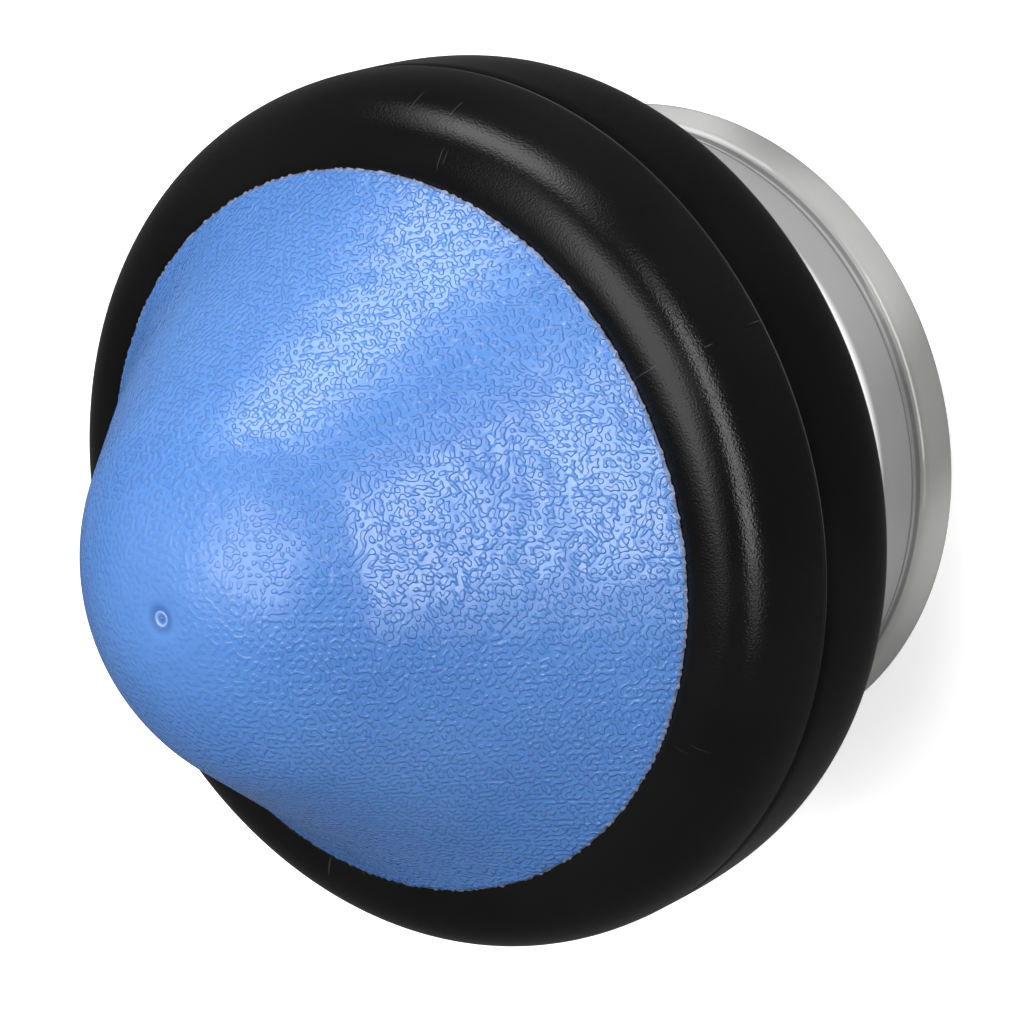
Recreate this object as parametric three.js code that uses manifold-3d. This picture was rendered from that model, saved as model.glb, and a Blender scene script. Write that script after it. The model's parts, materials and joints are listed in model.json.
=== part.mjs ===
// Suction-mounted massage knob. A textured soft cone sits on a round two-part body, and a clear suction cup
// holds the body on a smooth wall. The front half of the body turns on the rear half: a cam sleeve in it draws
// the cup's stem in, which locks the cup.
// Millimetres. +Z runs along the axis from the wall to the tip of the cone, and z = 0 is the cup's lip face.
import * as THREE from "three";
import { mergeVertices } from "three/addons/utils/BufferGeometryUtils.js";
import Module from "manifold-3d";

const wasm = await Module();
wasm.setup();

// ---------------------------------------------------------------- driving dimensions
const BODY_RADIUS = 40; // widest radius, at the seam between the two shells
const SEAM_Z = 33.6; // height of that seam above the lip face
const SEAM_GAP = 0.3; // running gap between the two shells
const WALL = 2.3; // wall of both shells
const FIT = 0.3; // clearance round pieces that touch or slide

const SHOULDER = { inset: 6.8, height: 9.4, power: 2.2 }; // front shell's rounded edge
const HIP = { inset: 3.84, height: 12.3, power: 3.4 }; // rear shell's rounded edge

const CONE_TOP_Z = 72; // tip of the cone
const CONE_TIP_RADIUS = 21.5; // ball radius of the blunt tip
const CONE_FLANK_START = { r: 26.2, z: 50.8 }; // where the straight flank meets the flare
const CONE_FLARE = { r: 29.0, z: 46.9 }; // control point of the flare
const CONE_EDGE = { r: 32.4, z: 42.9 }; // the cone's rim on the front shell
const SKIN = 2.5; // thickness of the soft skin
const CORE_WALL = 2.5; // thickness of the rigid core under it

const TWIST = Math.PI / 2; // the front half's turn from open to locked
const DRAW = 4; // how far that turn draws the stem in

const STEM_RADIUS = 3.9;
const STEM_TOP_Z = 34;
const PIN_RADIUS = 1.5;
const PIN_HALF_LENGTH = 11.5;
const PIN_Z = 28; // cross pin's height when open
const GUIDE = { inner: STEM_RADIUS + 0.4, outer: 6.8, top: 35.5 };
const CAM = { inner: 7.2, outer: 12, bottom: 24.5, flangeBottom: 36.4, top: 38.5, flangeRadius: 20.5 };

const WEB = { bottom: 38.8, top: 41.2 }; // front shell's plate, which carries the core and the cam sleeve
const CAM_SCREW_CIRCLE = 16.5;
const CORE_SCREW_CIRCLE = 24.5;
const SCREW = { shank: 1.3, head: 2.8, headHeight: 1.8, shankLength: 7 };
const SCREW_COUNT = 4;

const FLOOR = { bottom: 21.3, top: 23.5 }; // rear shell's floor
const SKIRT = { inner: 24.2, outer: 26.3, bottom: 13.3 }; // rear shell's ring that presses on the cup
const RIB_COUNT = 8;

const ROUND = 48; // segments round the large pieces
const SMALL_ROUND = 16; // segments round bosses, screws and pins

// ---------------------------------------------------------------- materials
function plastic(name, color, roughness, extra = {}) {
  return new THREE.MeshStandardMaterial({ name, color, roughness, metalness: 0, ...extra });
}
const coneBlue = plastic("cone_blue", 0x4f86d6, 0.42);
const coreBlue = plastic("core_blue", 0x2e5ea8, 0.5);
const shellSatin = plastic("shell_satin", 0x161616, 0.38);
const shellGloss = plastic("shell_gloss", 0x0e0e0e, 0.15);
const clearVinyl = plastic("clear_vinyl", 0xd5d9dc, 0.08, { transparent: true, opacity: 0.4 });
const acetal = plastic("acetal", 0xe8e6df, 0.35);
const stemNylon = plastic("stem_nylon", 0x2b2d30, 0.4);
const sealRubber = plastic("seal_rubber", 0x1c1c1c, 0.7);
const steel = new THREE.MeshStandardMaterial({ name: "steel", color: 0xb9bcc0, roughness: 0.3, metalness: 1 });

// ---------------------------------------------------------------- shape helpers
const point = (r, z) => new THREE.Vector2(r, z);

// Points from (from.r, from.z) towards (to.r, to.z) on a quarter of a superellipse about the given centre.
function superellipse(centreR, centreZ, reachR, reachZ, power, steps) {
  const points = [];
  for (let i = 0; i <= steps; i++) {
    const t = (Math.PI / 2) * (i / steps);
    const along = Math.cos(t) ** (2 / power);
    const up = Math.sin(t) ** (2 / power);
    points.push(point(centreR + reachR * along, centreZ + reachZ * up));
  }
  return points;
}

// A profile that starts on the axis, moved inwards by distance.
function insetProfile(points, distance) {
  return points.map((p, i) => {
    if (i === 0) return point(0, p.y - distance);
    const along = points[Math.min(i + 1, points.length - 1)].clone().sub(points[i - 1]).normalize();
    return point(Math.max(p.x + distance * along.y, 0), p.y - distance * along.x);
  });
}

function signedArea(points) {
  let twice = 0;
  points.forEach((p, i) => {
    const q = points[(i + 1) % points.length];
    twice += p.x * q.y - q.x * p.y;
  });
  return twice / 2;
}

// A solid of revolution about Z. The profile is a loop, or starts and ends on the axis.
function revolve(profile, segments = ROUND) {
  const points = signedArea(profile) > 0 ? [...profile] : [...profile].reverse();
  const onAxis = (p) => p.x < 1e-6;
  // A loop that touches the axis is turned round until it starts and ends there.
  const start = points.findIndex((p, i) => onAxis(p) && onAxis(points.at(i - 1)));
  if (start < 0) points.push(points[0].clone());
  else points.push(...points.splice(0, start));
  return new THREE.LatheGeometry(points, segments).rotateX(Math.PI / 2);
}

function solidOf(geometry) {
  const bare = geometry.clone();
  bare.deleteAttribute("normal");
  bare.deleteAttribute("uv");
  const merged = mergeVertices(bare, 1e-4);
  const vertProperties = new Float32Array(merged.attributes.position.array);
  const triVerts = new Uint32Array(merged.index.array);
  return new wasm.Manifold(new wasm.Mesh({ numProp: 3, vertProperties, triVerts }));
}

function geometryOf(solid) {
  const mesh = solid.getMesh();
  const geometry = new THREE.BufferGeometry();
  geometry.setAttribute("position", new THREE.BufferAttribute(new Float32Array(mesh.vertProperties), 3));
  geometry.setIndex(new THREE.BufferAttribute(new Uint32Array(mesh.triVerts), 1));
  geometry.computeVertexNormals();
  return geometry;
}

// An upright cylinder from z0 to z1 at (x, y).
function post(radius, z0, z1, x = 0, y = 0, segments = SMALL_ROUND) {
  const geometry = new THREE.CylinderGeometry(radius, radius, z1 - z0, segments).rotateX(Math.PI / 2);
  return solidOf(geometry.translate(x, y, (z0 + z1) / 2));
}

function block(sizeX, sizeY, z0, z1, x = 0, angle = 0) {
  const geometry = new THREE.BoxGeometry(sizeX, sizeY, z1 - z0).translate(x, 0, (z0 + z1) / 2);
  return solidOf(geometry.rotateZ(angle));
}

// count angles round the axis, the first at start.
const anglesRound = (count, start = 0) => Array.from({ length: count }, (_, i) => start + (2 * Math.PI * i) / count);

const onCircle = (radius, angle) => [radius * Math.cos(angle), radius * Math.sin(angle)];

// ---------------------------------------------------------------- the cone: soft skin over a rigid core
function coneProfile() {
  const centreZ = CONE_TOP_Z - CONE_TIP_RADIUS;
  const flank = point(CONE_FLANK_START.r, CONE_FLANK_START.z - centreZ);
  // The straight flank is the tangent from the flank's start to the tip's ball.
  const toFlank = Math.atan2(flank.x, flank.y);
  const tangent = toFlank - Math.acos(CONE_TIP_RADIUS / flank.length());
  const points = [];
  const tipSteps = 7;
  for (let i = 0; i <= tipSteps; i++) {
    const t = (tangent * i) / tipSteps;
    points.push(point(CONE_TIP_RADIUS * Math.sin(t), centreZ + CONE_TIP_RADIUS * Math.cos(t)));
  }
  const flare = new THREE.QuadraticBezierCurve(
    point(CONE_FLANK_START.r, CONE_FLANK_START.z),
    point(CONE_FLARE.r, CONE_FLARE.z),
    point(CONE_EDGE.r, CONE_EDGE.z),
  );
  return [...points, ...flare.getPoints(4)];
}

const SKIN_FOOT_Z = WEB.top + FIT;

function massageCone() {
  const outside = coneProfile();
  const inside = insetProfile(outside, SKIN).filter((p) => p.y > SKIN_FOOT_Z + 0.5);
  const innerFoot = point(inside[inside.length - 1].x + 0.3, SKIN_FOOT_Z);
  const outerFoot = point(CONE_EDGE.r - 0.5, SKIN_FOOT_Z);
  return revolve([...outside, outerFoot, innerFoot, ...inside.reverse()]);
}

function coneCore() {
  const surface = coneProfile();
  const outside = insetProfile(surface, SKIN + FIT).filter((p) => p.y > SKIN_FOOT_Z + 0.5);
  const inside = insetProfile(surface, SKIN + FIT + CORE_WALL).filter((p) => p.y > SKIN_FOOT_Z + 0.5);
  const outerFoot = point(outside[outside.length - 1].x, SKIN_FOOT_Z);
  const innerFoot = point(inside[inside.length - 1].x, SKIN_FOOT_Z);
  const dome = solidOf(revolve([...outside, outerFoot, innerFoot, ...[...inside].reverse()]));
  const boreDepth = 4.6;
  const postRadius = 3;
  const whole = solidOf(revolve([...outside, outerFoot, point(0, SKIN_FOOT_Z)]));
  let core = dome;
  for (const angle of anglesRound(SCREW_COUNT)) {
    const [x, y] = onCircle(CORE_SCREW_CIRCLE, angle);
    const boss = post(postRadius, SKIN_FOOT_Z, CONE_FLANK_START.z, x, y).intersect(whole);
    core = core.add(boss);
    core = core.subtract(post(SCREW.shank + FIT, SKIN_FOOT_Z - 1, SKIN_FOOT_Z + boreDepth, x, y));
  }
  return geometryOf(core);
}

// ---------------------------------------------------------------- front shell
function frontShell() {
  const bottom = SEAM_Z + SEAM_GAP / 2;
  const shoulder = superellipse(
    BODY_RADIUS - SHOULDER.inset,
    SEAM_Z,
    SHOULDER.inset,
    SHOULDER.height,
    SHOULDER.power,
    8,
  ).filter((p) => p.y > bottom);
  const landRadius = CONE_EDGE.r + FIT;
  const inner = BODY_RADIUS - WALL;
  const profile = [
    point(BODY_RADIUS, bottom),
    ...shoulder,
    point(landRadius, SEAM_Z + SHOULDER.height),
    point(landRadius, WEB.top),
    point(0, WEB.top),
    point(0, WEB.bottom),
    point(30.4, WEB.bottom),
    point(32.2, 40.5),
    point(34.2, 40.5),
    point(36.2, 39.0),
    point(inner, 36.4),
    point(inner, 35.5),
    point(inner - 0.6, 35.2), // bead that clips under the rear shell's ring
    point(inner - 0.6, 34.7),
    point(inner, 34.4),
    point(inner, bottom),
  ];
  let shell = solidOf(revolve(profile));
  const bossRadius = 3.2;
  const bossTop = 45.5;
  for (const angle of anglesRound(SCREW_COUNT, Math.PI / 4)) {
    const [x, y] = onCircle(CAM_SCREW_CIRCLE, angle);
    shell = shell.add(post(bossRadius, WEB.bottom + 1, bossTop, x, y));
    shell = shell.subtract(post(SCREW.shank + FIT, WEB.bottom - 1, bossTop - 1.2, x, y));
  }
  for (const angle of anglesRound(SCREW_COUNT)) {
    const [x, y] = onCircle(CORE_SCREW_CIRCLE, angle);
    shell = shell.subtract(post(SCREW.shank + FIT, WEB.bottom - 1, WEB.top + 1, x, y));
  }
  return geometryOf(shell);
}

// ---------------------------------------------------------------- rear shell
function rearShell() {
  const top = SEAM_Z - SEAM_GAP / 2;
  const hip = superellipse(BODY_RADIUS - HIP.inset, SEAM_Z, HIP.inset, -HIP.height, HIP.power, 8).filter(
    (p) => p.y < top,
  );
  const ring = { inner: 35.2, outer: 36.8, bead: 37.3, top: 37.1 };
  const profile = [
    point(BODY_RADIUS, top),
    ...hip,
    point(SKIRT.outer, FLOOR.bottom),
    point(SKIRT.outer, SKIRT.bottom + 0.5),
    point(SKIRT.outer - 0.7, SKIRT.bottom),
    point(SKIRT.inner, SKIRT.bottom + 0.4),
    point(SKIRT.inner, FLOOR.bottom),
    point(GUIDE.inner, FLOOR.bottom),
    point(GUIDE.inner, GUIDE.top),
    point(GUIDE.outer, GUIDE.top),
    point(GUIDE.outer, FLOOR.top),
    point(35.6, FLOOR.top),
    point(37.2, 25.2),
    point(BODY_RADIUS - WALL, 28),
    point(BODY_RADIUS - WALL, 31.2),
    point(ring.inner, 32.6),
    point(ring.inner, ring.top),
    point(ring.outer, ring.top),
    point(ring.bead, 36.5),
    point(ring.bead, 36.1),
    point(ring.outer, 35.8),
    point(ring.outer, top),
  ];
  let shell = solidOf(revolve(profile));
  const slotWidth = 2 * (PIN_RADIUS + FIT);
  const slotBottom = PIN_Z - PIN_RADIUS - FIT;
  shell = shell.subtract(block(4 * GUIDE.outer, slotWidth, slotBottom, GUIDE.top + 1));
  const rib = { start: 14.5, end: 37, height: 3, width: 1.6 };
  for (const angle of anglesRound(RIB_COUNT, Math.PI / RIB_COUNT)) {
    const length = rib.end - rib.start;
    const middle = (rib.end + rib.start) / 2;
    shell = shell.add(block(length, rib.width, FLOOR.top - 1, FLOOR.top + rib.height, middle, angle));
  }
  return geometryOf(shell);
}

// ---------------------------------------------------------------- twist lock
// A closed block that winds round the axis between two radii. Its middle climbs by rise over the given angle.
function helicalBlock(inner, outer, height, z, rise, angle, steps = 18) {
  const positions = [];
  const section = (t) => {
    const turn = angle * t;
    const middle = z + rise * t;
    const corner = (r, dz) => positions.push(r * Math.cos(turn), r * Math.sin(turn), middle + dz);
    corner(inner, -height / 2);
    corner(outer, -height / 2);
    corner(outer, height / 2);
    corner(inner, height / 2);
  };
  for (let i = 0; i <= steps; i++) section(i / steps);
  const index = [0, 1, 2, 0, 2, 3];
  for (let i = 0; i < steps; i++) {
    for (let k = 0; k < 4; k++) {
      const a = 4 * i + k;
      const b = 4 * i + ((k + 1) % 4);
      index.push(a, a + 4, b, b, a + 4, b + 4);
    }
  }
  const last = 4 * steps;
  index.push(last, last + 2, last + 1, last, last + 3, last + 2);
  const geometry = new THREE.BufferGeometry();
  geometry.setAttribute("position", new THREE.BufferAttribute(new Float32Array(positions), 3));
  geometry.setIndex(index);
  const solid = new wasm.Manifold(
    new wasm.Mesh({
      numProp: 3,
      vertProperties: geometry.attributes.position.array,
      triVerts: new Uint32Array(geometry.index.array),
    }),
  );
  return solid;
}

// Sleeve with two closed helical slots, which carry the ends of the cross pin.
function camSleeve() {
  const profile = [
    point(CAM.inner, CAM.bottom),
    point(CAM.outer, CAM.bottom),
    point(CAM.outer, CAM.flangeBottom),
    point(CAM.flangeRadius, CAM.flangeBottom),
    point(CAM.flangeRadius, CAM.top),
    point(CAM.inner, CAM.top),
  ];
  let sleeve = solidOf(revolve(profile, 36));
  const slotHeight = 2 * (PIN_RADIUS + 0.45);
  const rise = DRAW / TWIST; // per radian
  const overrun = (12.5 * Math.PI) / 180; // room for half the pin's width at each end
  const [inner, outer] = [CAM.inner - 1, CAM.outer + 1];
  const total = TWIST + 2 * overrun;
  const slot = helicalBlock(inner, outer, slotHeight, PIN_Z - rise * overrun, rise * total, total);
  for (const turn of [0, 180]) {
    sleeve = sleeve.subtract(slot.rotate([0, 0, turn - (overrun * 180) / Math.PI]));
  }
  for (const angle of anglesRound(SCREW_COUNT, Math.PI / 4)) {
    const [x, y] = onCircle(CAM_SCREW_CIRCLE, angle);
    sleeve = sleeve.subtract(post(SCREW.shank + FIT, CAM.flangeBottom - 1, CAM.top + 1, x, y));
  }
  return geometryOf(sleeve);
}

function thrustWasher() {
  const [bottom, top] = [FLOOR.top + 0.2, CAM.bottom - 0.2];
  return revolve([point(CAM.inner, bottom), point(13, bottom), point(13, top), point(CAM.inner, top)], 36);
}

const STEM_FLANGE = { radius: 7, bottom: 11.5, top: 13.5 };

function stemInsert() {
  const profile = [
    point(0, STEM_FLANGE.bottom),
    point(STEM_FLANGE.radius, STEM_FLANGE.bottom),
    point(STEM_FLANGE.radius, STEM_FLANGE.top),
    point(STEM_RADIUS, STEM_FLANGE.top),
    point(STEM_RADIUS, STEM_TOP_Z - 0.8),
    point(STEM_RADIUS - 0.8, STEM_TOP_Z),
    point(0, STEM_TOP_Z),
  ];
  const crossHole = new THREE.CylinderGeometry(PIN_RADIUS + FIT, PIN_RADIUS + FIT, 12, SMALL_ROUND);
  crossHole.rotateZ(Math.PI / 2).translate(0, 0, PIN_Z);
  return geometryOf(solidOf(revolve(profile, 24)).subtract(solidOf(crossHole)));
}

function crossPin() {
  return new THREE.CylinderGeometry(PIN_RADIUS, PIN_RADIUS, 2 * PIN_HALF_LENGTH, SMALL_ROUND)
    .rotateZ(Math.PI / 2)
    .translate(0, 0, PIN_Z);
}

// Ring in the angle between the two shells, which stops rattle and gives the turn its drag.
function dragRing() {
  const section = { radius: 0.7, r: 35.6, z: 38.1 };
  return new THREE.TorusGeometry(section.r, section.radius, 6, ROUND).translate(0, 0, section.z);
}

// Pan-head screw that points up, with its head's underside at the origin.
function screw() {
  const { shank, head, headHeight, shankLength } = SCREW;
  const profile = [
    point(0, -headHeight),
    point(head * 0.7, -headHeight),
    point(head, -headHeight * 0.5),
    point(head, 0),
    point(shank, 0),
    point(shank, shankLength - 1),
    point(0, shankLength),
  ];
  const body = solidOf(revolve(profile, 12));
  const recess = { length: 3, width: 0.7, depth: 0.8 };
  const bar = (angle) => block(recess.length, recess.width, -headHeight - 1, -headHeight + recess.depth, 0, angle);
  return geometryOf(body.subtract(bar(0).add(bar(Math.PI / 2))));
}

// ---------------------------------------------------------------- suction cup
function suctionCup() {
  const boreRadius = STEM_RADIUS + FIT;
  const profile = [
    point(0, 8.8), // underside, from the middle out to the lip
    point(12, 9.1),
    point(21, 8.6),
    point(25.6, 7.1),
    point(27.6, 4.6),
    point(28.6, 2.0),
    point(29.4, 0),
    point(31.2, 0), // lip face
    point(31.35, 0.5),
    point(31.1, 2.0),
    point(30.7, 3.4),
    point(30.1, 3.9), // groove over the lip
    point(29.7, 4.2),
    point(30.2, 4.7),
    point(29.9, 7.2),
    point(29.5, 9.3),
    point(28.9, 10.7),
    point(27.7, 11.9),
    point(26.0, 12.8),
    point(23.5, 13.4),
    point(16, 13.9),
    point(10.4, 14.3),
    point(9.4, 15.0),
    point(9.1, 16.8), // boss round the stem
    point(boreRadius, 16.8),
    point(boreRadius, STEM_FLANGE.top + FIT),
    point(STEM_FLANGE.radius + FIT, STEM_FLANGE.top + FIT),
    point(STEM_FLANGE.radius + FIT, STEM_FLANGE.bottom - FIT),
    point(0, STEM_FLANGE.bottom - FIT),
  ];
  return revolve(profile);
}

// ---------------------------------------------------------------- assembly
const knob = new THREE.Group();

function add(name, geometry, material, x = 0, y = 0, z = 0) {
  const mesh = new THREE.Mesh(geometry, material);
  mesh.name = name;
  mesh.position.set(x, y, z);
  knob.add(mesh);
}

add("suction_cup", suctionCup(), clearVinyl);
add("stem_insert", stemInsert(), stemNylon);
add("stem_cross_pin", crossPin(), steel);
add("rear_shell", rearShell(), shellGloss);
add("thrust_washer", thrustWasher(), acetal);
add("cam_sleeve", camSleeve(), acetal);
add("drag_ring", dragRing(), sealRubber);
add("front_shell", frontShell(), shellSatin);
add("cone_core", coneCore(), coreBlue);
add("massage_cone", massageCone(), coneBlue);

anglesRound(SCREW_COUNT, Math.PI / 4).forEach((angle, i) => {
  add(`cam_screw_${i + 1}`, screw(), steel, ...onCircle(CAM_SCREW_CIRCLE, angle), CAM.flangeBottom - FIT);
});
anglesRound(SCREW_COUNT).forEach((angle, i) => {
  add(`core_screw_${i + 1}`, screw(), steel, ...onCircle(CORE_SCREW_CIRCLE, angle), WEB.bottom - FIT);
});

export default knob;
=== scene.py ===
"""Looks of the suction-mounted massage knob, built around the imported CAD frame.

+Z runs from the wall to the tip. Profiles and the values under "shape" are in millimetres, all else in metres.
"""

import json
import math

import bpy
import numpy as np
from mathutils import Matrix, Vector


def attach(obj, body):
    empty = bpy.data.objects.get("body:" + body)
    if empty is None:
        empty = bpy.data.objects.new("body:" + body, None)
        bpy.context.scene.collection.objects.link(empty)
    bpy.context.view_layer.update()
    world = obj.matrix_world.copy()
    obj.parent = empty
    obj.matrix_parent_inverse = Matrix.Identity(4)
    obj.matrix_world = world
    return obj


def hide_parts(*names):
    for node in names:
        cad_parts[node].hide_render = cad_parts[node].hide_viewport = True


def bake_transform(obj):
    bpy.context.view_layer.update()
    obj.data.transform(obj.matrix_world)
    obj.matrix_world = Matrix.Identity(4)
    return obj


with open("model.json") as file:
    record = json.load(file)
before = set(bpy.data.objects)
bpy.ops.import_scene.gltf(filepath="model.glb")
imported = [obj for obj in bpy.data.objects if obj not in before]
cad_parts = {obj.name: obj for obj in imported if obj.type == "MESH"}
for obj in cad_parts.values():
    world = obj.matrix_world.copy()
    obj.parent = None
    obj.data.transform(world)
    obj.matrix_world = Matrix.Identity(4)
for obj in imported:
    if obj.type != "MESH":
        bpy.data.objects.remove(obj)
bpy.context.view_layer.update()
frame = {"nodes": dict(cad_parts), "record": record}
MM = 0.001

# ---------------------------------------------------------------- shape
BODY_RADIUS = 40.0
SEAM_Z = 33.6
SEAM_HALF_GAP = 0.07
SHOULDER = {"inset": 6.8, "height": 9.4, "power": 2.2}
HIP = {"inset": 3.84, "height": 12.3, "power": 3.4}
BODY_STEPS = 44  # along the rounded edge of each shell
CONE_TOP = 72.0
TIP_BALL = 21.5
FLANK_START = (26.2, 50.8)
FLARE = (29.0, 46.9)
CONE_EDGE = (32.55, 43.06)
SKIN = 2.5
DIMPLE = {"depth": 0.28, "radius": 1.25}  # round the gate, at the very tip
RIM = {"radius": 31.0, "z": 42.4, "rise": 0.13, "sink": 0.05}  # the rim's relief starts outside and above this
PLATE = {"radius": 20.0, "bottom": 38.8, "top": 41.2}  # the disc in the middle of the front shell
LAND_RADIUS = 32.4  # the front shell's edge round the cone
CUP_SPLIT = 13.0  # the cup's boss ends here and its bell starts
BOSS_GAP = 0.08

# ---------------------------------------------------------------- the cone's grain
GRAIN_PITCH = 0.60  # from one worm-shaped island to the next
GRAIN_WAVES = 21
GRAIN_CUT = 0.36  # the islands are where the sum of waves is above this
GRAIN_WALL = 0.72  # half the range over which their walls rise
GRAIN_SPREAD = (0.9, 1.12)  # of the waves' numbers
GRAIN_SEED = 7
GOLDEN_ANGLE = 2.399963


def grain_waves():
    """Plane waves of nearly one length in directions spread over a sphere. Their sum winds like the grain."""
    rng = np.random.default_rng(GRAIN_SEED)
    waves = []
    for i in range(GRAIN_WAVES):
        z = 1 - (2 * i + 1) / GRAIN_WAVES
        turn = GOLDEN_ANGLE * i
        flat = math.sqrt(1 - z * z)
        k = 2 * math.pi / (GRAIN_PITCH * MM) * rng.uniform(*GRAIN_SPREAD)
        direction = (k * flat * math.cos(turn), k * flat * math.sin(turn), k * z)
        waves.append((direction, rng.uniform(0, 2 * math.pi)))
    return waves


WAVES = grain_waves()


def grain_at(x, y, z):
    """The sum of the waves at a point, in metres."""
    total = sum(math.cos(k[0] * x + k[1] * y + k[2] * z + phase) for k, phase in WAVES)
    return total / math.sqrt(GRAIN_WAVES / 2)


# ---------------------------------------------------------------- mesh helpers
def new_object(name, vertices, faces):
    """A smooth-shaded object in the scene."""
    mesh = bpy.data.meshes.new(name)
    mesh.from_pydata([tuple(v) for v in vertices], [], faces)
    mesh.update()
    mesh.polygons.foreach_set("use_smooth", [True] * len(mesh.polygons))
    obj = bpy.data.objects.new(name, mesh)
    bpy.context.scene.collection.objects.link(obj)
    return obj


AXIS_RADIUS = 1e-6  # a profile point nearer than this is on the axis


def revolve(name, profile, segments, shape=None):
    """A solid of revolution about Z from (r, z) points in millimetres.

    The profile runs on the right of its solid from bottom to top, and is a loop unless it starts and ends on the
    axis. shape, if given, moves each point: it takes and gives back r and z, and takes the angle.
    """
    closed = profile[0][0] > AXIS_RADIUS
    angles = np.linspace(0, 2 * math.pi, segments, endpoint=False)
    vertices, faces, rings = [], [], []
    for r, z in profile:
        if r < AXIS_RADIUS:
            rings.append([len(vertices)])
            vertices.append((0.0, 0.0, z * MM))
            continue
        rings.append(list(range(len(vertices), len(vertices) + segments)))
        for a in angles:
            rr, zz = shape(r, z, a) if shape else (r, z)
            vertices.append((rr * MM * math.cos(a), rr * MM * math.sin(a), zz * MM))
    following = rings[1:] + rings[:1] if closed else rings[1:]
    for low, high in zip(rings, following):
        if len(low) == 1 and len(high) == 1:
            continue
        for k in range(segments):
            n = (k + 1) % segments
            if len(low) == 1:
                faces.append((low[0], high[n], high[k]))
            elif len(high) == 1:
                faces.append((low[k], low[n], high[0]))
            else:
                faces.append((low[k], low[n], high[n], high[k]))
    return new_object(name, vertices, faces)


def superellipse(centre, reach, power):
    """Points on a quarter of a superellipse, from its widest radius to its end in z."""
    points = []
    for i in range(BODY_STEPS + 1):
        t = 0.5 * math.pi * i / BODY_STEPS
        r = centre[0] + reach[0] * math.cos(t) ** (2 / power)
        z = centre[1] + reach[1] * math.sin(t) ** (2 / power)
        points.append((r, z))
    return points


def fillet(before, corner, after, radius, steps=4):
    """A rounded corner between two straight stretches of a profile."""
    b, c, a = (np.array(p, float) for p in (before, corner, after))
    u, v = (b - c) / np.linalg.norm(b - c), (a - c) / np.linalg.norm(a - c)
    start, end = c + u * radius, c + v * radius
    t = np.linspace(0, 1, steps + 1)[:, None]
    return [tuple(p) for p in (1 - t) ** 2 * start + 2 * t * (1 - t) * c + t * t * end]


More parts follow.
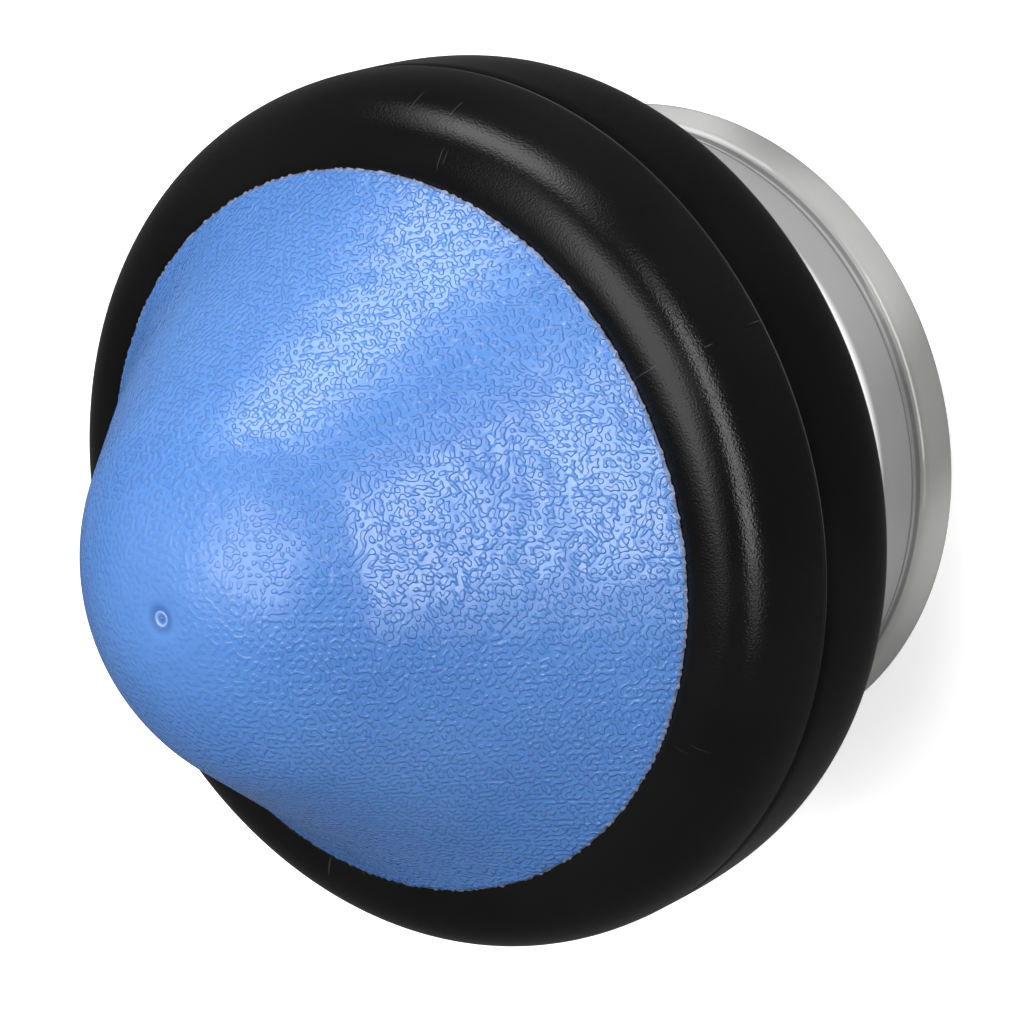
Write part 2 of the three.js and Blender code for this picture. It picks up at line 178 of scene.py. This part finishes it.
# ---------------------------------------------------------------- material helpers
class Shader:
    """A node material that is built by short calls. Its noises and heights are read in the object's own space."""

    def __init__(self, name):
        self.material = bpy.data.materials.new(name)
        self.material.use_nodes = True
        self.nodes = self.material.node_tree.nodes
        self.links = self.material.node_tree.links
        self.bsdf = next(n for n in self.nodes if n.type == "BSDF_PRINCIPLED")
        self.position = self.nodes.new("ShaderNodeTexCoord").outputs["Object"]

    def set(self, **values):
        """Values of the shader's own sockets, with _ for a space."""
        for name, value in values.items():
            self.bsdf.inputs[name.replace("_", " ")].default_value = value

    def put(self, socket, value):
        if isinstance(value, (int, float, tuple)):
            socket.default_value = value
        else:
            self.links.new(value, socket)

    def noise(self, scale, detail=2.0, roughness=0.5, distortion=0.0, vector=None):
        node = self.nodes.new("ShaderNodeTexNoise")
        self.put(node.inputs["Vector"], vector or self.position)
        node.inputs["Scale"].default_value = scale
        node.inputs["Detail"].default_value = detail
        node.inputs["Roughness"].default_value = roughness
        node.inputs["Distortion"].default_value = distortion
        return node.outputs["Fac"]

    def steps(self, value, low, high, to_low=0.0, to_high=1.0):
        """A smooth step from to_low to to_high while value goes from low to high."""
        node = self.nodes.new("ShaderNodeMapRange")
        node.interpolation_type = "SMOOTHSTEP"
        self.put(node.inputs["Value"], value)
        node.inputs["From Min"].default_value = low
        node.inputs["From Max"].default_value = high
        node.inputs["To Min"].default_value = to_low
        node.inputs["To Max"].default_value = to_high
        return node.outputs["Result"]

    def patches(self, scale, detail=2.0, low=0.0, high=1.0, start=0.3, end=0.7):
        """Soft patches of noise, from low to high."""
        return self.steps(self.noise(scale, detail), start, end, low, high)

    def band(self, value, rise, fall):
        """1 between the two ranges of value, in which it rises from 0 and falls to 0."""
        return self.times(self.steps(value, *rise), self.steps(value, *fall, 1.0, 0.0))

    def math(self, operation, a, b=0.0):
        node = self.nodes.new("ShaderNodeMath")
        node.operation = operation
        self.put(node.inputs[0], a)
        self.put(node.inputs[1], b)
        return node.outputs[0]

    def times(self, a, b):
        return self.math("MULTIPLY", a, b)

    def plus(self, a, b):
        return self.math("ADD", a, b)

    def mix(self, factor, a, b):
        node = self.nodes.new("ShaderNodeMix")
        node.data_type = "RGBA"
        self.put(node.inputs["Factor"], factor)
        self.put(node.inputs[6], a)
        self.put(node.inputs[7], b)
        return node.outputs[2]

    def layer(self, base, mask, amount, color):
        """color over base where mask is 1, as far as amount."""
        return self.mix(self.times(mask, amount), base, color)

    def waves(self):
        """The cone's grain as a field, the same as grain_at."""
        total = 0.0
        for k, phase in WAVES:
            dot = self.nodes.new("ShaderNodeVectorMath")
            dot.operation = "DOT_PRODUCT"
            self.put(dot.inputs[0], self.position)
            dot.inputs[1].default_value = k
            total = self.plus(total, self.math("COSINE", self.plus(dot.outputs["Value"], phase)))
        return self.math("DIVIDE", total, math.sqrt(GRAIN_WAVES / 2))

    def radius(self):
        """Distance from the Z axis."""
        flat = self.nodes.new("ShaderNodeVectorMath")
        flat.operation = "MULTIPLY"
        self.put(flat.inputs[0], self.position)
        flat.inputs[1].default_value = (1, 1, 0)
        length = self.nodes.new("ShaderNodeVectorMath")
        length.operation = "LENGTH"
        self.put(length.inputs[0], flat.outputs["Vector"])
        return length.outputs["Value"]

    def parts(self):
        """The position's X, Y and Z."""
        node = self.nodes.new("ShaderNodeSeparateXYZ")
        self.put(node.inputs[0], self.position)
        return node.outputs

    def height(self):
        return self.parts()["Z"]

    def scratches(self):
        """A few short fine scratches that run outwards and down the side."""
        per_radian, per_metre = 150.0, 220.0  # the noise is far finer round the side than along it
        parts = self.parts()
        angle = self.math("ARCTAN2", parts["Y"], parts["X"])
        across = self.nodes.new("ShaderNodeCombineXYZ")
        self.put(across.inputs["X"], self.times(angle, per_radian))
        self.put(across.inputs["Y"], self.times(parts["Z"], per_metre))
        self.put(across.inputs["Z"], self.times(self.radius(), per_metre))
        lines = self.steps(self.noise(1.0, detail=0.0, vector=across.outputs["Vector"]), 0.81, 0.84)
        return self.times(lines, self.patches(75, 0.0, start=0.56, end=0.62))

    def bump(self, height, distance, normal=None):
        node = self.nodes.new("ShaderNodeBump")
        node.inputs["Strength"].default_value = 1.0
        node.inputs["Distance"].default_value = distance
        self.put(node.inputs["Height"], height)
        if normal is not None:
            self.links.new(normal, node.inputs["Normal"])
        return node.outputs["Normal"]

    def finish(self, color, roughness, normal=None):
        self.put(self.bsdf.inputs["Base Color"], color)
        self.put(self.bsdf.inputs["Roughness"], roughness)
        if normal is not None:
            self.links.new(normal, self.bsdf.inputs["Normal"])
        return self.material


def srgb(r, g, b):
    """Linear colour, with alpha, from 0-255 display values."""
    shown = (r / 255, g / 255, b / 255)
    linear = [v / 12.92 if v <= 0.04045 else ((v + 0.055) / 1.055) ** 2.4 for v in shown]
    return (*linear, 1.0)


def grey(value):
    return srgb(value, value, value)


# ---------------------------------------------------------------- materials
def cone_material():
    """Soft blue rubber with a moulded grain of flat worm-shaped islands, and a gate mark at the tip."""
    s = Shader("cone_rubber")
    radius = s.radius()
    # The grain gets shallow towards the tip and ends round the gate.
    shallow = s.steps(radius, 3 * MM, 18 * MM, 0.22, 1.0)
    depth = s.times(shallow, s.steps(radius, 1.2 * MM, 2.6 * MM))
    raised = s.times(s.steps(s.waves(), GRAIN_CUT - GRAIN_WALL, GRAIN_CUT + GRAIN_WALL), depth)
    wall = s.times(raised, s.math("SUBTRACT", 1.0, raised))
    relief = s.bump(raised, 0.10 * MM)
    relief = s.bump(s.noise(420, detail=1.0), 0.12 * MM, normal=relief)
    relief = s.bump(s.noise(2600, detail=1.0), 0.004 * MM, normal=relief)
    tint = s.mix(s.patches(45, start=0.35, end=0.65), srgb(71, 114, 177), srgb(78, 121, 183))
    tint = s.layer(tint, raised, 0.25, srgb(64, 106, 171))
    # Painted shade: the islands' walls are tinted darker blue, standing for the shade in the grooves at their feet.
    tint = s.layer(tint, wall, 0.35, srgb(46, 80, 140))
    # Painted shade in the hollow round the gate mark.
    hollow = s.band(radius, (0.6 * MM, 0.8 * MM), (0.9 * MM, 1.6 * MM))
    tint = s.layer(tint, hollow, 0.45, srgb(40, 66, 122))
    # Painted highlight on the gate mark's raised ring.
    gate_ring_glint = s.band(radius, (0.44 * MM, 0.50 * MM), (0.68 * MM, 0.74 * MM))
    tint = s.layer(tint, gate_ring_glint, 0.5, srgb(150, 172, 216))
    centre = s.steps(radius, 0.26 * MM, 0.40 * MM, 0.5, 0.0)
    tint = s.mix(centre, tint, srgb(54, 76, 126))
    rim = s.steps(s.height(), 43.0 * MM, 43.4 * MM, 1.0, 0.0)
    tint = s.layer(tint, rim, 0.75, srgb(150, 146, 150))
    s.set(Specular_IOR_Level=0.56)
    return s.finish(tint, s.patches(300, low=0.19, high=0.24), relief)


def satin_black():
    """Black plastic with a fine spark grain, duller scuffs and a few pale scratches."""
    s = Shader("satin_black")
    scuffs = s.steps(s.noise(260, detail=4, roughness=0.7, distortion=2.0), 0.62, 0.70)
    color = s.mix(s.patches(60, 3), grey(11), grey(16))
    color = s.layer(color, s.scratches(), 0.25, grey(76))
    rough = s.plus(s.patches(150, 3, 0.13, 0.18), s.times(scuffs, 0.06))
    s.set(Specular_IOR_Level=0.20)
    return s.finish(color, rough, s.bump(s.noise(5200, detail=1.0, roughness=0.6), 0.022 * MM))


def gloss_black():
    """Polished black plastic, duller along fine hairlines, with a faint painted highlight along its corner at the
    seam.
    """
    s = Shader("gloss_black")
    hair = s.steps(s.noise(900, detail=3, roughness=0.8, distortion=6.0), 0.66, 0.70)
    color = s.mix(s.patches(70, start=0.35, end=0.65), srgb(6, 6, 6), srgb(10, 9, 9))
    # Painted highlight: a paler line on the corner at the seam, where its small round catches the light.
    corner = s.steps(s.height(), (SEAM_Z - 0.18) * MM, (SEAM_Z - 0.13) * MM)
    color = s.layer(color, corner, 0.3, srgb(70, 68, 68))
    rough = s.plus(s.patches(120, low=0.10, high=0.14), s.times(hair, 0.10))
    s.set(Specular_IOR_Level=0.18)
    return s.finish(color, rough, s.bump(s.noise(600, detail=2), 0.003 * MM))


def clear_vinyl(name, dark, light, alpha):
    """Soft vinyl that lets a little through, with flow ripple, painted shade as a dark line at each step of the lip,
    and a painted highlight band higher up.
    """
    s = Shader(name)
    s.set(IOR=1.53, Alpha=alpha)
    color = s.mix(s.patches(38, 1, start=0.38, end=0.62), srgb(*dark), srgb(*light))
    height = s.height()
    # Painted shade: dark lines at the lip's step and at the bell's bead, where the clear vinyl looks dark.
    foot = s.band(height, (3.7 * MM, 3.8 * MM), (3.9 * MM, 4.0 * MM))
    bead = s.band(height, (4.8 * MM, 4.9 * MM), (5.0 * MM, 5.1 * MM))
    color = s.layer(color, s.plus(foot, bead), 0.7, srgb(66, 67, 68))
    # Painted highlight: a near-white band from 8.6 to 9.5 mm up, on the bell's shoulder.
    color = s.mix(s.steps(height, 8.6 * MM, 9.5 * MM), color, grey(248))
    ripple = s.noise(140, detail=2, distortion=0.5)
    return s.finish(color, s.patches(220, 3, 0.05, 0.10), s.bump(ripple, 0.06 * MM))


def moulded(name, dark, light, roughness):
    """A plain moulded plastic or rubber for the inner pieces."""
    s = Shader(name)
    color = s.mix(s.patches(90, 3), srgb(*dark), srgb(*light))
    rough = s.patches(240, 2, roughness - 0.05, roughness + 0.05)
    return s.finish(color, rough, s.bump(s.noise(3000, detail=2), 0.006 * MM))


def zinc_steel():
    """Bright zinc-plated steel."""
    s = Shader("zinc_steel")
    s.set(Metallic=1.0)
    color = s.mix(s.patches(700, 3), srgb(178, 181, 184), srgb(204, 206, 208))
    return s.finish(color, s.patches(1500, 2, 0.22, 0.36), s.bump(s.noise(5000), 0.004 * MM))


MATERIALS = {
    "cone_blue": cone_material(),
    "core_blue": moulded("core_plastic", (44, 90, 160), (52, 100, 172), 0.5),
    "shell_satin": satin_black(),
    "shell_gloss": gloss_black(),
    "clear_vinyl": clear_vinyl("cup_vinyl", (132, 132, 133), (150, 150, 151), 0.85),
    "acetal": moulded("acetal", (226, 224, 216), (236, 234, 227), 0.36),
    "stem_nylon": moulded("stem_nylon", (40, 42, 46), (50, 52, 56), 0.42),
    "seal_rubber": moulded("seal_rubber", (24, 24, 24), (34, 34, 34), 0.7),
    "steel": zinc_steel(),
}


def piece(obj, body, slot, *nodes):
    """obj takes the slot's material, stands for the CAD nodes and, if body is given, rides on it."""
    obj.data.materials.clear()
    obj.data.materials.append(MATERIALS[slot])
    if nodes:
        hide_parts(*nodes)
    if body:
        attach(obj, body)
    return obj


# ---------------------------------------------------------------- the cone's soft skin
def cone_outline():
    """The cone's outer profile from its rim to its tip: a flare, a straight flank and a ball with a dimple."""
    flare_steps, flank_steps, ball_steps = 24, 12, 60
    centre = CONE_TOP - TIP_BALL
    to_flank = math.atan2(FLANK_START[0], FLANK_START[1] - centre)
    tangent = to_flank - math.acos(TIP_BALL / math.hypot(FLANK_START[0], FLANK_START[1] - centre))
    flare = []
    for i in range(flare_steps + 1):
        q = i / flare_steps
        ends = zip(CONE_EDGE, FLARE, FLANK_START)
        flare.append(tuple((1 - q) ** 2 * e + 2 * q * (1 - q) * f + q * q * s for e, f, s in ends))
    ball = []
    for i in range(ball_steps, -1, -1):
        angle = tangent * i / ball_steps
        ball.append((TIP_BALL * math.sin(angle), centre + TIP_BALL * math.cos(angle)))
    flank = []
    for i in range(1, flank_steps):
        flank.append(tuple(a + (b - a) * i / flank_steps for a, b in zip(FLANK_START, ball[0])))
    ball = [(r, z - DIMPLE["depth"] * math.exp(-((r / DIMPLE["radius"]) ** 2))) for r, z in ball]
    bottom = ball[-1][1]
    ball = [p for p in ball if p[0] > 0.35] + [(0.28, bottom + 0.003), (0.14, bottom), (0.0, bottom)]
    return flare + flank + ball


def rim_bumps(r, z, angle):
    """The grain's islands stand proud of the skin's rim, which gives it a ragged edge."""
    if r < RIM["radius"] or z < RIM["z"]:
        return r, z
    field = grain_at(r * MM * math.cos(angle), r * MM * math.sin(angle), z * MM)
    rise = min(max((field - GRAIN_CUT) / (2 * GRAIN_WALL) + 0.5, 0.0), 1.0)
    near = min(r - RIM["radius"], 1.0)
    return r + near * (RIM["rise"] * rise - RIM["sink"]), z


def cone_skin():
    """The hollow skin: the outer profile, a foot that stands in the front shell, and the inner profile."""
    outer = cone_outline()
    foot_z, foot_radius = 41.6, 32.2
    foot = [(CONE_EDGE[0] - 2.6, foot_z), (foot_radius, foot_z), (foot_radius, 43.0), (CONE_EDGE[0] - 0.02, 43.01)]
    inwards, down = SKIN * 0.9, SKIN * 0.6
    inner = [(max(r - inwards, 0.0), z - down) for r, z in outer if z - down > foot_z + 1.0]
    inner = [p for p in inner if p[0] > 0.2]
    inner.append((0.0, outer[-1][1] - SKIN))
    return revolve("cone_skin", inner[::-2] + foot + outer, 960, rim_bumps)


def gate_mark():
    """A small raised ring with a torn centre, where the rubber was injected."""
    base = CONE_TOP - DIMPLE["depth"]
    ring = [(0.74, -0.1), (0.72, 0.08), (0.63, 0.15), (0.52, 0.08), (0.40, -0.03)]
    centre = [(0.26, -0.02), (0.12, 0.09), (0.0, 0.06)]
    profile = [(r, base + z) for r, z in [(0.0, -0.1), *ring, *centre]]

    def torn(r, z, angle):
        ragged = 0.03 * math.sin(3 * angle + 0.5) + 0.02 * math.sin(7 * angle)
        return r * (1 + ragged), z + (0.05 * math.sin(3 * angle) if r < 0.45 and z > base else 0.0)

    return revolve("gate_mark", profile, 48, torn)


piece(cone_skin(), "head", "cone_blue", "massage_cone")
piece(gate_mark(), "head", "cone_blue")


# ---------------------------------------------------------------- front shell
def seam_corner(z, up):
    """The small round at the seam's edge of a shell whose face there is at z. up is 1 or -1, into the shell."""
    return [(BODY_RADIUS - 0.13, z), (BODY_RADIUS - 0.05, z + up * 0.04), (BODY_RADIUS - 0.005, z + up * 0.11)]


def rounded_edge(edge, up):
    """The rounded outside of a shell, from its widest line."""
    centre = (BODY_RADIUS - edge["inset"], SEAM_Z)
    return superellipse(centre, (edge["inset"], up * edge["height"]), edge["power"])


face = SEAM_Z + SEAM_HALF_GAP
shoulder = [p for p in rounded_edge(SHOULDER, 1) if p[1] > face + 0.14]
front_profile = seam_corner(face, 1) + shoulder
front_profile += [(LAND_RADIUS + 0.1, 42.99), (LAND_RADIUS, 42.9), (LAND_RADIUS, PLATE["top"])]
front_profile += [(PLATE["radius"], PLATE["top"]), (PLATE["radius"], PLATE["bottom"])]
front_profile += [(30.4, 38.8), (32.2, 40.5), (34.2, 40.5), (36.2, 39.0), (37.7, 36.4), (37.7, 35.5)]
front_profile += [(37.1, 35.2), (37.1, 34.7), (37.7, 34.4)]  # the bead that clips over the rear shell's ring
front_profile += [(37.7, face + 0.1), (37.9, face)]
piece(revolve("front_ring", front_profile, 360), "head", "shell_satin", "front_shell")

plate_profile = [(0.0, PLATE["bottom"]), (PLATE["radius"], PLATE["bottom"])]
plate_profile += [(PLATE["radius"], PLATE["top"]), (0.0, PLATE["top"])]
piece(revolve("front_plate", plate_profile, 96), "head", "shell_satin")

# ---------------------------------------------------------------- rear shell
face = SEAM_Z - SEAM_HALF_GAP
hip = [p for p in rounded_edge(HIP, -1) if p[1] < face - 0.14][::-1]
skirt = fillet((30, 21.3), (26.3, 21.3), (26.3, 15), 0.6)[::-1]
rear_profile = [(26.3, 13.9), *skirt, *hip, *seam_corner(face, -1)[::-1]]
rear_profile += [(36.8, face), (36.8, 35.8), (37.3, 36.1), (37.3, 36.5), (36.8, 37.1), (35.2, 37.1)]  # ring and bead
rear_profile += [(35.2, 32.6), (37.7, 31.2), (37.7, 28.0), (37.2, 25.2), (35.6, 23.5)]  # wall
rear_profile += [(6.8, 23.5), (6.8, 35.5), (4.3, 35.5), (4.3, 21.3)]  # floor and guide tube
rear_profile += [(24.2, 21.3), (24.2, 13.75), (24.6, 13.35), (25.3, 13.25), (25.9, 13.35)]  # inside of the skirt
piece(revolve("rear_housing", rear_profile, 360), "base", "shell_gloss", "rear_shell")

# ---------------------------------------------------------------- suction cup
bell_profile = [(CUP_SPLIT, 9.1), (17, 8.95), (21, 8.6), (23.6, 8.0), (25.6, 7.1), (26.8, 5.9), (27.6, 4.6)]
bell_profile += [(27.8, 4.15), (29.75, 4.15), (29.85, 4.35), (30.1, 4.62), (30.16, 4.9), (30.05, 6.0)]
bell_profile += [(29.85, 7.6), (29.5, 9.3), (29.1, 10.3), (28.5, 11.2), (27.7, 11.9), (26.9, 12.4)]
bell_profile += [(26.0, 12.75), (24.5, 13.1), (22, 13.4), (18, 13.7), (CUP_SPLIT, 14.0)]
rim_profile = [(27.85, 4.1), (28.1, 3.3), (28.6, 2.0), (29.0, 0.9), (29.35, 0.08), (29.5, 0.0), (31.1, 0.0)]
rim_profile += [(31.25, 0.08), (31.33, 0.3), (31.3, 0.9), (31.1, 2.0), (30.85, 3.0), (30.6, 3.5), (30.2, 3.78)]
rim_profile += [(29.85, 3.98), (29.72, 4.1)]
bell = piece(revolve("cup_bell", bell_profile, 288), None, "clear_vinyl", "suction_cup")
rim = piece(revolve("cup_rim", rim_profile, 288), None, "clear_vinyl", "suction_cup")
rim.data.materials[0] = clear_vinyl("rim_vinyl", (136, 136, 135), (184, 184, 183), 0.78)
for part in (bell, rim):
    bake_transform(part)

boss_radius = CUP_SPLIT - BOSS_GAP
boss_profile = [(0.0, 8.8), (6, 8.85), (boss_radius, 9.08), (boss_radius, 14.0), (11.2, 14.15), (10.2, 14.4)]
boss_profile += [(9.5, 14.9), (9.2, 15.8), (9.05, 16.5), (8.8, 16.8), (4.2, 16.8)]
boss_profile += [(4.2, 13.8), (7.3, 13.8), (7.3, 11.2), (0.0, 11.2)]  # the space for the stem and its flange
piece(revolve("cup_boss", boss_profile, 144), "stem", "clear_vinyl", "suction_cup")

# ---------------------------------------------------------------- the inner CAD nodes keep their shape
slots = {s["node"]: s["material_slot"] for s in frame["record"]["subparts"]}
for name, node in frame["nodes"].items():
    if not node.hide_render:
        node.data.materials.clear()
        node.data.materials.append(MATERIALS[slots[name]])

# ---------------------------------------------------------------- floor, light and camera
SEAM_CENTRE = Vector((0, 0, SEAM_Z * MM))
FLOOR_SIZE = 3.0
FLOOR_CELLS = 24
FLOOR_Z = -0.0001
SOFTBOX_PARTS = (("core", 0.72, 0.0), ("edge", 1.24, 0.01))  # name, scale, how far behind
ROOM_LIGHT = 0.10
BACKDROP = 0.92


def from_direction(azimuth, elevation, distance):
    """A point that far from the seam's centre. Azimuth is from +X towards +Y."""
    a, e = math.radians(azimuth), math.radians(elevation)
    return SEAM_CENTRE + distance * Vector((math.cos(e) * math.cos(a), math.cos(e) * math.sin(a), math.sin(e)))


def floor():
    """A pale floor under the cup's lip."""
    side = FLOOR_CELLS + 1
    marks = [(i / FLOOR_CELLS - 0.5) * FLOOR_SIZE for i in range(side)]
    vertices = [(x, y, FLOOR_Z) for y in marks for x in marks]
    corners = [j * side + i for j in range(FLOOR_CELLS) for i in range(FLOOR_CELLS)]
    obj = new_object("floor", vertices, [(k, k + 1, k + side + 1, k + side) for k in corners])
    s = Shader("pale_floor")
    color = s.mix(s.patches(8), grey(246), grey(250))
    s.set(Emission_Color=(1.0, 1.0, 1.0, 1.0), Emission_Strength=0.42, Specular_IOR_Level=0.1)
    obj.data.materials.append(s.finish(color, 0.8))
    obj.visible_glossy = False  # the black plastics mirror the lights, not the floor


def softbox(name, azimuth, elevation, distance, width, height, power, mirrored=True):
    """A softbox that fades towards its edges: half its light is from a smaller rectangle inside a larger one."""
    for part, scale, behind in SOFTBOX_PARTS:
        light = bpy.data.lights.new(f"{name}_{part}", "AREA")
        light.shape = "RECTANGLE"
        light.size, light.size_y = width * scale, height * scale
        light.energy = power / 2
        obj = bpy.data.objects.new(light.name, light)
        place = from_direction(azimuth, elevation, distance + behind)
        aim = (place - SEAM_CENTRE).to_track_quat("Z", "Y").to_matrix().to_4x4()
        obj.matrix_world = Matrix.Translation(place) @ aim
        obj.visible_glossy = mirrored
        bpy.context.scene.collection.objects.link(obj)


def studio_world():
    """A dim room, so that the black plastics stay black, which is as pale as the floor behind the object."""
    world = bpy.data.worlds.new("studio")
    world.use_nodes = True
    nodes, links = world.node_tree.nodes, world.node_tree.links
    background = nodes["Background"]
    background.inputs["Color"].default_value = (1.0, 1.0, 1.0, 1.0)
    level = nodes.new("ShaderNodeMapRange")
    level.inputs["To Min"].default_value = ROOM_LIGHT
    level.inputs["To Max"].default_value = BACKDROP
    links.new(nodes.new("ShaderNodeLightPath").outputs["Is Camera Ray"], level.inputs["Value"])
    links.new(level.outputs["Result"], background.inputs["Strength"])
    return world


floor()
softbox("side_softbox", azimuth=-96, elevation=28, distance=0.75, width=1.0, height=0.19, power=4.1)
softbox("end_softbox", azimuth=-13, elevation=17, distance=0.75, width=0.54, height=0.34, power=3.0)
softbox("top_softbox", azimuth=-45, elevation=74, distance=0.75, width=0.66, height=0.66, power=4.6)
softbox("fill_softbox", azimuth=60, elevation=55, distance=0.85, width=0.80, height=0.80, power=6.6, mirrored=False)
bpy.context.scene.world = studio_world()
bpy.context.scene.view_settings.view_transform = "Standard"
bpy.context.scene.view_settings.look = "None"

camera_data = bpy.data.cameras.new("camera")
camera_data.lens = 140.6
camera_data.sensor_width = 36.0
camera = bpy.data.objects.new("camera", camera_data)
camera.matrix_world = Matrix(
    (
        (-0.3496, 0.9369, 0.0055, 0.0),
        (-0.7052, -0.2592, -0.6599, -0.2396),
        (-0.6168, -0.2346, 0.7513, 0.2990),
        (0, 0, 0, 1),
    )
)
bpy.context.scene.collection.objects.link(camera)
bpy.context.scene.camera = camera
